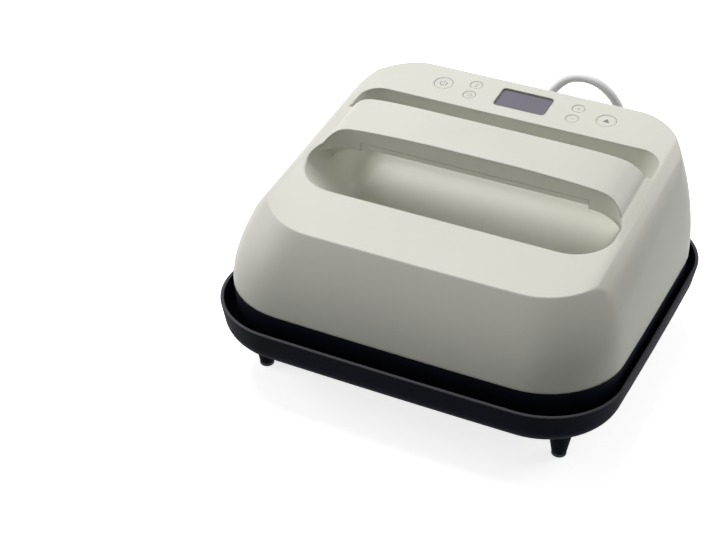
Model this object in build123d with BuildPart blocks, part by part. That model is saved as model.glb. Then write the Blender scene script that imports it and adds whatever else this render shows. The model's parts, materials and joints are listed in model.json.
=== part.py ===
from build123d import *
from math import atan2, cos, hypot, pi, radians, sin, sqrt, tan
import os

os.makedirs("parts", exist_ok=True)

# Driving dimensions, in millimetres. The origin is on the table, under the middle of the base.
# Outlines are rounded rectangles with slightly bowed sides: half width, half depth, corner radius.
side_bow = 1.5
seam_height = 76.0            # where the pale housing meets the dark lower band
seam_half_x = 160.0
seam_half_y = 137.0
seam_corner = 62.0
waist_height = 113.0
waist_half_x = 153.0
waist_middle = 5.0
waist_half_y = 131.0
waist_corner = 56.0
deck_height = 147.7           # the sloping top deck, at the middle of the base
deck_slope = 6.5              # degrees, rising to the back
deck_half_x = 140.0
deck_front = -103.0
deck_back = 141.0
deck_corner = 50.0
deck_lean = 0.45              # how far the side walls lean in for each millimetre above the deck
front_lean = 0.82
back_lean = -0.2
crease_radius = 1.5
shell_wall = 2.6

# The handle bridges the hand well, and its ends run into the side walls.
hump_foot = -52.0             # where the side rims start to rise towards the handle
handle_front = 9.0
handle_back = 54.0
handle_rise = 20.0
handle_edge = 5.0
handle_split = 5.0            # joint between the handle's upper and lower shells
handle_under = -3.0
grip_round = 6.5
grip_gap = 0.3
tunnel_half_x = 122.0         # the opening under the handle
tunnel_round = 26.0
boss_radius = 4.0
screw_radius = 1.5
screw_head = 2.9
small_screw = 1.2
panel_rise = 1.5
panel_front = 90.0
notch_depth = 20.0            # how far the rear slot is let into the side walls
back_round = 9.0
lip_round = 6.0
panel_edge = 3.0

# The hand well, one opening from the front deck to the control panel, under the handle.
well_front = -51.0
well_half_x = 128.0
well_depth = 50.0
well_inset_x = 16.0           # how much narrower and shorter it is at the floor
well_inset_front = 26.0
well_front_corner = 34.0
well_back_corner = 18.0
well_floor_round = 13.0

# Lower band, plate and what lies between them.
band_bottom = 45.0
band_half_x = 157.0
band_half_y = 134.0
band_corner = 59.0
band_wall = 2.8
band_reveal = 0.6
band_boss = 5.0
plate_bottom = 40.0
plate_half_x = 152.4
plate_half_y = 127.0
plate_corner = 54.0
plate_thickness = 8.0
plate_edge_round = 1.5
post_height = 3.0
post_radius = 7.0
heater_diameter = 7.0
heater_pitch = 42.0
heater_run = 92.0
heater_seat = 0.1
heater_bend = 6.0
post_shank = 4.0
blanket_bottom = 58.0
blanket_thickness = 4.0
shield_thickness = 1.0
chassis_bottom = 66.0
chassis_thickness = 3.0
inner_half_x = 146.0
inner_half_y = 122.0
inner_corner = 48.0

# Base tray
tray_bottom = 33.0
tray_rim = 64.5
tray_rim_half_x = 166.5
tray_rim_half_y = 148.5
tray_corner = 64.0
tray_draft = 5.5
tray_round = 18.0
tray_wall = 3.0
tray_floor = 3.0
leg_x = 125.0
leg_y = 102.0
leg_top = 11.5
leg_tip = 5.8
foot_height = 3.0
rest_gap = 0.1
rest_x = 112.0
rest_y = 88.0
rest_radius = 9.0
liner_thickness = 1.0

# Control panel
panel_row = 115.5             # middle of the display and of the two round keys
display_width = 45.0
display_depth = 24.5
display_corner = 3.5
lens_recess = 1.2
lens_thickness = 1.6
lens_border = 3.0
round_key = 8.0
small_key = 5.2
round_key_x = 71.5
small_key_x = 45.0
small_key_step = 15.0
key_travel = 0.6
key_gap = 0.25
key_slack = 0.1
flange_width = 1.2
flange_thickness = 1.0
board_top = -8.4              # from the deck
board_thickness = 1.6
switch_height = 3.0

# Mains cord
cord_diameter = 7.8
relief_x = -11.0
relief_height = 90.0
relief_end = 165.0
relief_root = 8.5
relief_tip = 5.4
relief_neck = 6.4
coil_x = -1.0
coil_y = 270.0
coil_pitch = 8.3
coil_reach = 51.0
coil_half_turns = 5
cord_rest = cord_diameter / 2 + 0.05
sleeve_length = 30.0
sleeve_tip = 4.6
plug_length = 38.0
blade_length = 17.0

screw_gap = 0.15

slope = radians(deck_slope)
deck = Plane(origin=(0, 0, deck_height), x_dir=(1, 0, 0), z_dir=(0, -sin(slope), cos(slope)))
side_view = Plane(origin=deck.origin, x_dir=deck.y_dir, z_dir=(1, 0, 0))
deck_middle = (deck_front + deck_back) / 2
deck_half_y = (deck_back - deck_front) / 2
corners = [(-1, -1), (1, -1), (1, 1), (-1, 1)]


def across(v):
    """Upright plane that faces the front, square to the deck at v up the slope."""
    return Plane(origin=deck.from_local_coords((0, v, 0)), x_dir=(1, 0, 0), z_dir=-deck.y_dir)


def outline(plane, half_x, half_y, corner, middle=0.0):
    """Rounded rectangle with bowed sides."""
    x, y = half_x - side_bow, half_y - side_bow
    with BuildSketch(plane) as sketch:
        with BuildLine():
            ThreePointArc((-x, middle - y), (0, middle - half_y), (x, middle - y))
            ThreePointArc((x, middle - y), (half_x, middle), (x, middle + y))
            ThreePointArc((x, middle + y), (0, middle + half_y), (-x, middle + y))
            ThreePointArc((-x, middle + y), (-half_x, middle), (-x, middle - y))
        make_face()
        fillet(sketch.vertices(), corner)
    return sketch.sketch


def slab(bottom, top, half_x, half_y, corner):
    """Flat plate with the family's rounded outline."""
    with BuildPart() as form:
        add(outline(Plane.XY.offset(bottom), half_x, half_y, corner))
        extrude(amount=top - bottom)
    return form.part


def rod(x, y, bottom, top, radius):
    """Upright round bar."""
    with BuildPart() as form:
        with BuildSketch(Plane.XY.offset(bottom)):
            with Locations((x, y)):
                Circle(radius)
        extrude(amount=top - bottom)
    return form.part


def deck_rod(x, v, low, high, radius):
    """Round bar square to the deck, between two levels above it."""
    with BuildPart() as form:
        with BuildSketch(deck.offset(low)):
            with Locations((x, v)):
                Circle(radius)
        extrude(amount=high - low)
    return form.part


def deck_block(x, v, width, depth, low, high, corner=0.0):
    """Block square to the deck, between two levels above it."""
    with BuildPart() as form:
        with BuildSketch(deck.offset(low)):
            with Locations((x, v)):
                if corner:
                    RectangleRounded(width, depth, corner)
                else:
                    Rectangle(width, depth)
        extrude(amount=high - low)
    return form.part


def dome(inset):
    """The housing's outside up to above the handle, or its inside with an inset."""
    top = handle_rise + 7
    waist = Plane(origin=(0, waist_middle, waist_height), x_dir=(1, 0, 0), z_dir=(0, -sin(slope / 2), cos(slope / 2)))
    sections = [
        outline(Plane.XY.offset(seam_height), seam_half_x - inset, seam_half_y - inset, seam_corner - inset),
        outline(waist, waist_half_x - inset, waist_half_y - inset, waist_corner - inset),
        outline(
            deck.offset(top),
            deck_half_x - inset - deck_lean * top,
            deck_half_y - inset - (front_lean + back_lean) * top / 2,
            deck_corner - inset,
            deck_middle + (front_lean - back_lean) * top / 2,
        ),
    ]
    with BuildPart() as form:
        loft(sections=sections)
    return form.part


def above_profile(down):
    """Everything above the deck's long section, lowered by the wall for the inside."""
    rise, edge = handle_rise - down, handle_edge - down / 2
    back = handle_back - down
    front = panel_front + down
    notch = -notch_depth - down
    roof = panel_rise - down
    with BuildPart() as form:
        with BuildSketch(side_view):
            with BuildLine():
                Line((-220, -down), (hump_foot, -down))
                Spline((hump_foot, -down), (handle_front + 3, rise), tangents=((1, 0), (1, 0.12)))
                Line((handle_front + 3, rise), (back - edge, rise))
                RadiusArc((back - edge, rise), (back, rise - edge), edge)
                Line((back, rise - edge), (back + 2, notch + 9))
                Spline((back + 2, notch + 9), (back + 12, notch), tangents=((0.2, -1), (1, 0)))
                Polyline(
                    (back + 12, notch), (front, notch), (front, roof), (deck_back - back_round - down, roof)
                )
                RadiusArc(
                    (deck_back - back_round - down, roof),
                    (deck_back - down, roof - back_round),
                    back_round,
                )
                Polyline(
                    (deck_back - down, roof - back_round),
                    (deck_back + 5 - down, roof - back_round - 14),
                    (230, 0),
                    (230, 120),
                    (-220, 120),
                    (-220, -down),
                )
            make_face()
        extrude(amount=230, both=True)
    return form.part


def above_arch(down):
    """Everything above the handle's curved top, seen from the front."""
    rise = handle_rise - down
    foot_x = deck_half_x - down + 5.0
    with BuildPart() as form:
        with BuildSketch(across(panel_front - 6)):
            with BuildLine():
                Spline(
                    (0, rise),
                    (60, rise - 1.4),
                    (95, rise - 4),
                    (117 - down / 2, rise - 8.5),
                    (131 - down, rise - 17),
                    (foot_x, rise - 28),
                    tangents=((1, 0), (0.4, -1)),
                )
                Polyline((foot_x, rise - 28), (190, rise - 28), (190, 120), (0, 120), (0, rise))
            make_face()
        extrude(amount=panel_front - 6 - hump_foot)
        mirror(about=Plane.YZ)
    return form.part


def well_section(level, half_x, front, back, front_corner, back_corner):
    """Outline of the well at a level below the deck."""
    with BuildSketch(deck.offset(level)) as section:
        with Locations((0, (front + back) / 2)):
            Rectangle(2 * half_x, back - front)
        fillet(section.vertices().group_by(Axis.Y)[0], front_corner)
        fillet(section.vertices().group_by(Axis.Y)[-1], back_corner)
    return section.sketch


def well(grow):
    """The hand well as a solid, or the outside of its wall when grown."""
    mouth = (well_half_x + grow, well_front - grow, panel_front + grow, well_front_corner + grow)
    with BuildPart() as form:
        loft(
            sections=[
                well_section(0, *mouth, well_back_corner + grow),
                well_section(
                    -(well_depth + grow),
                    well_half_x - well_inset_x + grow,
                    well_front + well_inset_front - grow,
                    panel_front - 2 + grow,
                    well_front_corner - 4 + grow,
                    well_back_corner - 2 + grow,
                ),
            ]
        )
        floor = form.faces().sort_by(Axis(deck.origin, deck.z_dir))[0]
        fillet(floor.edges(), well_floor_round + grow)
        extrude(to_extrude=well_section(0, *mouth, well_back_corner + grow), amount=handle_rise + 12)
    return form.part


def tunnel(grow):
    """The opening under the handle, seen from the front, with rounded upper corners."""
    top = handle_under + grow
    with BuildPart() as form:
        with BuildSketch(across(handle_back + 20)) as opening:
            with Locations((0, top - 50)):
                Rectangle(2 * (tunnel_half_x + grow), 100)
            fillet(opening.vertices().group_by(Axis.Y)[-1], tunnel_round + grow)
        extrude(amount=handle_back - handle_front + 40)
    return form.part


def local(edge, t):
    """A point of an edge in the deck's own frame."""
    return deck.to_local_coords(edge @ t)


def level_edges(edges, level):
    """Edges that lie in a plane parallel to the deck."""
    return [edge for edge in edges if all(abs(local(edge, t).Z - level) < 0.05 for t in (0, 0.5, 1))]


def deck_screw(x, v, seat, length, radius, head, thickness):
    """Pan-head screw square to the deck, its head below the seat."""
    with BuildPart() as form:
        add(deck_rod(x, v, seat, seat + length, radius))
        add(deck_rod(x, v, seat - thickness, seat, head))
    return form.part


def upright_screw(x, y, seat, length, radius, head, thickness):
    """Pan-head screw on the vertical. A negative length points its shank upwards."""
    with BuildPart() as form:
        if length > 0:
            add(rod(x, y, seat - length, seat, radius))
            add(rod(x, y, seat, seat + thickness, head))
        else:
            add(rod(x, y, seat, seat - length, radius))
            add(rod(x, y, seat - thickness, seat, head))
    return form.part


def save(form, name):
    """Name a part and write it."""
    form.part.label = name
    export_step(form.part, f"parts/{name}.step")
    print(name, len(form.part.solids()), "solids", form.part.is_valid)


grip_half = tunnel_half_x - tunnel_round
handle_depth = handle_back - handle_front
handle_middle = (handle_front + handle_back) / 2
handle_zone = deck_block(0, handle_middle, 400, handle_depth, -90, 60)
grip_pocket = deck_block(0, handle_middle, 2 * grip_half, handle_depth + 10, -90, handle_split)
hollow_zone = deck_block(0, handle_middle, 400, handle_depth - 2 * shell_wall, -90, 60)

# Where fasteners and keys stand
handle_screws = [-84, -30, 30, 84]
board_screws = [(-89, 102), (89, 102), (-89, 127), (89, 127)]
band_screws = [(-151, -55), (151, -55), (-151, 55), (151, 55), (-60, -129.5), (60, -129.5), (-60, 130), (60, 130)]
frame_bolts = [(-134, -66), (134, -66), (-134, 66), (134, 66)]
key_step = small_key_step / 2
keys = {
    "key_power": (-round_key_x, panel_row, round_key),
    "key_start": (round_key_x, panel_row, round_key),
    "key_temperature": (-small_key_x, panel_row + key_step, small_key),
    "key_timer": (-small_key_x, panel_row - key_step, small_key),
    "key_plus": (small_key_x, panel_row + key_step, small_key),
    "key_minus": (small_key_x, panel_row - key_step, small_key),
}
wall_under = panel_rise - shell_wall
roof_under = handle_rise - shell_wall
lens_top = panel_rise - lens_recess

with BuildPart() as inside:
    add(dome(shell_wall))
    add(above_profile(shell_wall), mode=Mode.SUBTRACT)
    add(above_arch(shell_wall), mode=Mode.SUBTRACT)

with BuildPart() as handle_hollow:
    add(inside.part)
    add(hollow_zone, mode=Mode.INTERSECT)
    add(tunnel(shell_wall), mode=Mode.SUBTRACT)

with BuildPart() as cavity:
    add(inside.part)
    add(well(shell_wall), mode=Mode.SUBTRACT)
    add(handle_hollow.part)

with BuildPart() as handle_kept:
    add(handle_zone)
    add(tunnel(0), mode=Mode.SUBTRACT)
    add(grip_pocket, mode=Mode.SUBTRACT)

with BuildPart() as opening:
    add(well(0))
    add(handle_kept.part, mode=Mode.SUBTRACT)

with BuildPart() as housing:
    add(dome(0))
    add(above_profile(0), mode=Mode.SUBTRACT)
    add(above_arch(0), mode=Mode.SUBTRACT)
    lip = [
        edge
        for edge in housing.edges()
        if abs(local(edge, 0).Y - panel_front) < 0.5
        and abs(local(edge, 1).Y - panel_front) < 0.5
        and abs((edge @ 0).Z - (edge @ 1).Z) > 4
    ]
    fillet(lip, lip_round)
    fillet([e for e in level_edges(housing.edges(), 0) if (e @ 0.5).Y < hump_foot - 1], crease_radius)
    rear = deck_back - back_round - 1
    fillet([e for e in level_edges(housing.edges(), panel_rise) if local(e, 0.5).Y < rear], panel_edge)
    with BuildPart(mode=Mode.PRIVATE) as bosses:
        for x in handle_screws:
            add(deck_rod(x, handle_middle, handle_split, handle_rise, boss_radius))
        for x, y in band_screws:
            add(rod(x, y, seam_height, seam_height + 11, band_boss))
        add(housing.part, mode=Mode.INTERSECT)
    add(opening.part, mode=Mode.SUBTRACT)
    add(cavity.part, mode=Mode.SUBTRACT)
    add(bosses.part)
    for x, v in board_screws:
        add(deck_rod(x, v, board_top, wall_under + 0.5, boss_radius))
    # window, recessed above the lens, with a seat for the lens below
    add(deck_block(0, panel_row, display_width, display_depth, -6, 6, display_corner), mode=Mode.SUBTRACT)
    seat_width = display_width + 2 * lens_border + 0.4
    seat_depth = display_depth + 2 * lens_border + 0.4
    seat = deck_block(0, panel_row, seat_width, seat_depth, -6, lens_top, display_corner + lens_border)
    add(seat, mode=Mode.SUBTRACT)
    for x, v, radius in keys.values():
        add(deck_rod(x, v, -6, 6, radius), mode=Mode.SUBTRACT)
    for x in handle_screws:
        bore = deck_rod(x, handle_middle, handle_split - 1, handle_split + 7, screw_radius + screw_gap)
        add(bore, mode=Mode.SUBTRACT)
    for x, v in board_screws:
        add(deck_rod(x, v, board_top - 1, board_top + 5, small_screw + screw_gap), mode=Mode.SUBTRACT)
    for x, y in band_screws:
        add(rod(x, y, seam_height - 1, seam_height + 8.5, screw_radius + screw_gap), mode=Mode.SUBTRACT)
    with BuildSketch(Plane(origin=(relief_x, 120, relief_height), x_dir=(1, 0, 0), z_dir=(0, 1, 0))):
        Circle(relief_neck + 0.3)
    extrude(amount=30, mode=Mode.SUBTRACT)
save(housing, "upper_housing")

with BuildPart() as handle_grip:
    grip_width = 2 * (grip_half - grip_gap)
    add(deck_block(0, handle_middle, grip_width, handle_depth, handle_under, handle_split))
    long_edges = [e for e in level_edges(handle_grip.edges(), handle_under) if e.length > 60]
    fillet(long_edges, grip_round)
    hollow_width = grip_width - 2 * shell_wall
    hollow_depth = handle_depth - 2 * shell_wall
    low = handle_under + shell_wall
    add(deck_block(0, handle_middle, hollow_width, hollow_depth, low, handle_split + 1, 4), mode=Mode.SUBTRACT)
    for x in handle_screws:
        add(deck_rod(x, handle_middle, handle_under, handle_split, boss_radius))
    for x in handle_screws:
        bore = deck_rod(x, handle_middle, handle_under - 1, handle_split + 1, screw_radius + screw_gap)
        add(bore, mode=Mode.SUBTRACT)
        counterbore = deck_rod(x, handle_middle, handle_under - 1, handle_under + 3, screw_head + 0.3)
        add(counterbore, mode=Mode.SUBTRACT)
save(handle_grip, "handle_grip")

with BuildPart() as handle_fixings:
    for x in handle_screws:
        add(deck_screw(x, handle_middle, handle_under + 3, 10, screw_radius, screw_head, 2.2))
save(handle_fixings, "handle_screws")

# Control panel
with BuildPart() as lens:
    width = display_width + 2 * lens_border
    depth = display_depth + 2 * lens_border
    corner = display_corner + lens_border - 0.2
    add(deck_block(0, panel_row, width, depth, lens_top - lens_thickness, lens_top, corner))
save(lens, "display_lens")

with BuildPart() as module:
    low = lens_top - lens_thickness
    add(deck_block(0, panel_row, display_width + 4, display_depth + 3, board_top, low, 3))
    add(deck_block(0, panel_row, display_width + 1, display_depth + 1, low - 0.4, low + 1), mode=Mode.SUBTRACT)
save(module, "display_module")

with BuildPart() as board:
    add(deck_block(0, 114.5, 192, 35, board_top - board_thickness, board_top, 2))
    for x, v in board_screws:
        add(deck_rod(x, v, board_top - 5, board_top + 1, small_screw + screw_gap), mode=Mode.SUBTRACT)
save(board, "control_board")

with BuildPart() as switches:
    for x, v, radius in keys.values():
        add(deck_block(x, v, 6.2, 6.2, board_top, board_top + 1.8, 0.6))
        add(deck_rod(x, v, board_top, board_top + switch_height, 1.7))
save(switches, "key_switches")

with BuildPart() as board_fixings:
    for x, v in board_screws:
        add(deck_screw(x, v, board_top - board_thickness, 6, small_screw, 2.6, 1.5))
save(board_fixings, "board_screws")

for name, (x, v, radius) in keys.items():
    with BuildPart() as key:
        add(deck_rod(x, v, wall_under - key_slack, panel_rise, radius - key_gap))
        fillet(level_edges(key.edges(), panel_rise), 0.4)
        flange = wall_under - key_slack - flange_thickness
        add(deck_rod(x, v, flange, wall_under - key_slack, radius + flange_width))
        add(deck_rod(x, v, board_top + switch_height + key_travel + 0.1, wall_under - key_slack, 2.2))
    save(key, name)

# Lower band, with a flange on top that the housing stands on
with BuildPart() as band:
    top_x = seam_half_x - band_reveal
    top_y = seam_half_y - band_reveal
    top_corner = seam_corner - band_reveal
    loft(
        sections=[
            outline(Plane.XY.offset(band_bottom), band_half_x, band_half_y, band_corner),
            outline(Plane.XY.offset(seam_height), top_x, top_y, top_corner),
        ]
    )
    fillet(band.edges().group_by(Axis.Z)[0], 1.2)
    low_x = band_half_x - band_wall
    low_y = band_half_y - band_wall
    low_corner = band_corner - band_wall
    loft(
        sections=[
            outline(Plane.XY.offset(band_bottom), low_x, low_y, low_corner),
            outline(
                Plane.XY.offset(seam_height - 4),
                top_x - band_wall,
                top_y - band_wall,
                top_corner - band_wall,
            ),
        ],
        mode=Mode.SUBTRACT,
    )
    add(slab(seam_height - 5, seam_height + 1, 126, 106, 40), mode=Mode.SUBTRACT)
    for x, y in band_screws:
        add(rod(x, y, seam_height - 6, seam_height + 1, screw_radius + screw_gap), mode=Mode.SUBTRACT)
    for x, y in frame_bolts:
        add(rod(x, y, seam_height - 6, seam_height + 1, screw_radius + screw_gap), mode=Mode.SUBTRACT)
save(band, "lower_band")

with BuildPart() as band_fixings:
    for x, y in band_screws:
        add(upright_screw(x, y, seam_height - 4, -12, screw_radius, screw_head, 2.2))
save(band_fixings, "band_screws")

# Heat plate and the stack above it
plate_top = plate_bottom + plate_thickness
posts = [(-118, -90), (118, -90), (-118, 90), (118, 90), (0, -105), (0, 105)]
clamp_x = [-60, 60]
clamp_y = [-63, 63]
heater_level = plate_top + heater_seat + heater_diameter / 2
clamp_bottom = heater_level + heater_diameter / 2 + 0.1
with BuildPart() as plate:
    add(slab(plate_bottom, plate_top, plate_half_x, plate_half_y, plate_corner))
    fillet(plate.edges().group_by(Axis.Z)[0], plate_edge_round)
    for x, y in posts:
        add(rod(x, y, plate_top, plate_top + post_height, post_radius))
    for x in clamp_x:
        for y in clamp_y:
            add(rod(x, y, plate_top, clamp_bottom, 5))
            add(rod(x, y, plate_top, clamp_bottom + 1, small_screw + screw_gap), mode=Mode.SUBTRACT)
save(plate, "heat_plate")

turn = heater_pitch / 2
rows = [heater_pitch * k for k in (-2, -1, 0, 1, 2)]
riser = heater_run + 8 + heater_bend
bend_in = heater_bend * (1 - sin(radians(45)))
low = heater_level
high = heater_level + heater_bend
with BuildPart() as heater:
    with BuildLine() as route:
        Line((-riser, rows[0], high + 14), (-riser, rows[0], high))
        ThreePointArc(
            (-riser, rows[0], high),
            (-riser + bend_in, rows[0], low + bend_in),
            (-riser + heater_bend, rows[0], low),
        )
        Line((-riser + heater_bend, rows[0], low), (heater_run, rows[0], low))
        for k, side in enumerate((1, -1, 1, -1)):
            ThreePointArc(
                (side * heater_run, rows[k], low),
                (side * (heater_run + turn), rows[k] + turn, low),
                (side * heater_run, rows[k + 1], low),
            )
            far = -side * heater_run if k < 3 else riser - heater_bend
            Line((side * heater_run, rows[k + 1], low), (far, rows[k + 1], low))
        ThreePointArc(
            (riser - heater_bend, rows[4], low),
            (riser - bend_in, rows[4], low + bend_in),
            (riser, rows[4], high),
        )
        Line((riser, rows[4], high), (riser, rows[4], high + 14))
    with BuildSketch(Plane(origin=(-riser, rows[0], high + 14), x_dir=(1, 0, 0), z_dir=(0, 0, -1))):
        Circle(heater_diameter / 2)
    sweep()
save(heater, "heating_element")

with BuildPart() as clamps:
    for x in clamp_x:
        with BuildSketch(Plane.XY.offset(clamp_bottom)):
            with Locations((x, 0)):
                RectangleRounded(12, 196, 4)
        extrude(amount=1.2)
        for y in clamp_y:
            add(rod(x, y, clamp_bottom - 1, clamp_bottom + 2, small_screw + screw_gap), mode=Mode.SUBTRACT)
save(clamps, "heater_clamps")

with BuildPart() as clamp_fixings:
    for x in clamp_x:
        for y in clamp_y:
            add(upright_screw(x, y, clamp_bottom + 1.2, 6, small_screw, 2.6, 1.2))
save(clamp_fixings, "clamp_screws")

with BuildPart() as probe:
    with BuildSketch(Plane.XY.offset(plate_top)):
        with Locations((0, turn)):
            RectangleRounded(22, 9, 3)
    extrude(amount=3)
    add(rod(0, turn, plate_top, plate_top + 6, 3.2))
save(probe, "temperature_probe")

with BuildPart() as cutout:
    add(rod(0, -turn, plate_top, plate_top + 4, 9))
    add(rod(0, -turn, plate_top, plate_top + 7, 6.5))
save(cutout, "thermal_cutout")


def pierced(bottom, thickness, grow):
    """A sheet of the inside stack, with clear holes for the posts and the heater's ends."""
    with BuildPart() as form:
        add(slab(bottom, bottom + thickness, inner_half_x, inner_half_y, inner_corner))
        for x, y in posts:
            add(rod(x, y, bottom - 1, bottom + thickness + 1, post_shank + grow), mode=Mode.SUBTRACT)
        for x, y in ((-riser, rows[0]), (riser, rows[4])):
            hole = rod(x, y, bottom - 1, bottom + thickness + 1, heater_diameter / 2 + grow)
            add(hole, mode=Mode.SUBTRACT)
    return form.part


with BuildPart() as blanket:
    add(pierced(blanket_bottom, blanket_thickness, 0.5))
save(blanket, "insulation_blanket")

with BuildPart() as shield:
    add(pierced(blanket_bottom + blanket_thickness, shield_thickness, 1.0))
save(shield, "heat_shield")

with BuildPart() as standoffs:
    for x, y in posts:
        add(rod(x, y, plate_top + post_height, chassis_bottom, post_shank))
        add(rod(x, y, chassis_bottom - 6, chassis_bottom + 1, small_screw + screw_gap), mode=Mode.SUBTRACT)
save(standoffs, "plate_standoffs")

chassis_top = chassis_bottom + chassis_thickness
with BuildPart() as chassis:
    add(slab(chassis_bottom, chassis_top, inner_half_x, inner_half_y, inner_corner))
    for x, y in posts:
        add(rod(x, y, chassis_bottom - 1, chassis_top + 1, small_screw + screw_gap), mode=Mode.SUBTRACT)
    for x, y in ((-riser, rows[0]), (riser, rows[4])):
        add(rod(x, y, chassis_bottom - 1, chassis_top + 1, heater_diameter / 2 + 3), mode=Mode.SUBTRACT)
    for x in (-58, 0, 58):
        with BuildSketch(Plane.XY.offset(chassis_bottom - 1)):
            with Locations((x, -34)):
                RectangleRounded(42, 66, 10)
        extrude(amount=6, mode=Mode.SUBTRACT)
    for x, y in frame_bolts:
        add(rod(x, y, chassis_top, seam_height - 4, 6))
        add(rod(x, y, chassis_bottom - 1, seam_height, screw_radius + screw_gap), mode=Mode.SUBTRACT)
save(chassis, "inner_frame")

with BuildPart() as chassis_fixings:
    for x, y in posts:
        add(upright_screw(x, y, chassis_top, 8, small_screw, 3, 1.6))
    for x, y in frame_bolts:
        add(upright_screw(x, y, chassis_bottom, -9.8, screw_radius, screw_head, 1.6))
save(chassis_fixings, "frame_screws")

board_level = chassis_top + 4
with BuildPart() as power_board:
    with BuildSketch(Plane.XY.offset(board_level)):
        with Locations((-40, 58)):
            RectangleRounded(96, 52, 3)
    extrude(amount=board_thickness)
    for x in (-82, 2):
        for y in (38, 78):
            add(rod(x, y, chassis_top, board_level, 3))
save(power_board, "power_board")

base_level = board_level + board_thickness
with BuildPart() as power_parts:
    for x, y, width, depth, height in ((-70, 58, 19, 16, 13), (-40, 66, 26, 18, 11), (-30, 42, 40, 8, 9)):
        with BuildSketch(Plane.XY.offset(base_level)):
            with Locations((x, y)):
                RectangleRounded(width, depth, 1)
        extrude(amount=height)
    add(rod(-10, 68, base_level, base_level + 12, 5))
save(power_parts, "power_components")

# Base tray on its four legs
with BuildPart() as tray:
    floor_x = tray_rim_half_x - tray_draft
    floor_y = tray_rim_half_y - tray_draft
    loft(
        sections=[
            outline(Plane.XY.offset(tray_bottom), floor_x, floor_y, tray_corner - tray_draft),
            outline(Plane.XY.offset(tray_rim), tray_rim_half_x, tray_rim_half_y, tray_corner),
        ]
    )
    fillet(tray.edges().group_by(Axis.Z)[0], tray_round)
    inner_low = tray_bottom + tray_floor
    with BuildPart(mode=Mode.PRIVATE) as bowl:
        loft(
            sections=[
                outline(
                    Plane.XY.offset(inner_low),
                    floor_x + 0.6 - tray_wall,
                    floor_y + 0.6 - tray_wall,
                    tray_corner - tray_draft - tray_wall,
                ),
                outline(
                    Plane.XY.offset(tray_rim + 1),
                    tray_rim_half_x + 0.2 - tray_wall,
                    tray_rim_half_y + 0.2 - tray_wall,
                    tray_corner - tray_wall,
                ),
            ]
        )
        fillet(bowl.edges().group_by(Axis.Z)[0], tray_round - tray_wall)
    add(bowl.part, mode=Mode.SUBTRACT)
    fillet(tray.edges().group_by(Axis.Z)[-1], 1.0)
    for sx, sy in corners:
        with BuildSketch(Plane.XY.offset(foot_height)) as tip:
            with Locations((sx * leg_x, sy * leg_y)):
                Circle(leg_tip)
        with BuildSketch(Plane.XY.offset(tray_bottom + 1)) as root:
            with Locations((sx * leg_x, sy * leg_y)):
                Circle(leg_top)
        loft(sections=[tip.sketch, root.sketch])
    for sx, sy in corners:
        hole = rod(sx * leg_x, sy * leg_y, foot_height - 1, foot_height + 6, small_screw + screw_gap)
        add(hole, mode=Mode.SUBTRACT)
save(tray, "base_tray")

with BuildPart() as feet:
    for sx, sy in corners:
        add(rod(sx * leg_x, sy * leg_y, 0, foot_height, leg_tip))
    fillet(feet.edges().group_by(Axis.Z)[0], 0.8)
    for sx, sy in corners:
        add(rod(sx * leg_x, sy * leg_y, -1, foot_height + 1, small_screw + screw_gap), mode=Mode.SUBTRACT)
        add(rod(sx * leg_x, sy * leg_y, -1, 1.5, 3), mode=Mode.SUBTRACT)
save(feet, "foot_pads")

with BuildPart() as foot_fixings:
    for sx, sy in corners:
        add(upright_screw(sx * leg_x, sy * leg_y, 1.5, -7, small_screw, 2.7, 1.2))
save(foot_fixings, "foot_screws")

rests = [(sx * rest_x, sy * rest_y) for sx, sy in corners]
with BuildPart() as liner:
    add(slab(inner_low, inner_low + liner_thickness, 140, 122, 46))
    for x, y in rests:
        add(rod(x, y, inner_low - 1, inner_low + 2, rest_radius + 0.5), mode=Mode.SUBTRACT)
save(liner, "base_liner")

with BuildPart() as rest_pads:
    for x, y in rests:
        add(rod(x, y, inner_low, plate_bottom - rest_gap, rest_radius))
    fillet(rest_pads.edges().group_by(Axis.Z)[-1], 1.0)
save(rest_pads, "rest_pads")

# Mains cord
rear_wall = 136.6
with BuildPart() as relief:
    with BuildSketch(Plane(origin=(relief_x, 0, relief_height), x_dir=(0, 1, 0), z_dir=(-1, 0, 0))):
        with BuildLine():
            wall_in = rear_wall - shell_wall - 0.9
            wall_out = rear_wall + 1.0
            Polyline(
                (wall_in - 3, 0),
                (wall_in - 3, relief_root + 2),
                (wall_in, relief_root + 2),
                (wall_in, relief_neck),
                (wall_out, relief_neck),
                (wall_out, relief_root + 1.5),
                (wall_out + 2, relief_root + 1.5),
                (wall_out + 2, relief_root - 1),
                (relief_end, relief_tip),
                (relief_end, 0),
                (wall_in - 3, 0),
            )
        make_face()
    revolve(axis=Axis((relief_x, 0, relief_height), (0, 1, 0)))
    for k in range(4):
        with BuildSketch(
            Plane(origin=(relief_x, wall_out + 5 + 4.6 * k, relief_height), x_dir=(1, 0, 0), z_dir=(0, 1, 0))
        ):
            Circle(relief_root + 2)
            Circle(relief_root - 2 - 0.5 * k, mode=Mode.SUBTRACT)
        extrude(amount=1.6, mode=Mode.SUBTRACT)
save(relief, "strain_relief")

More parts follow.
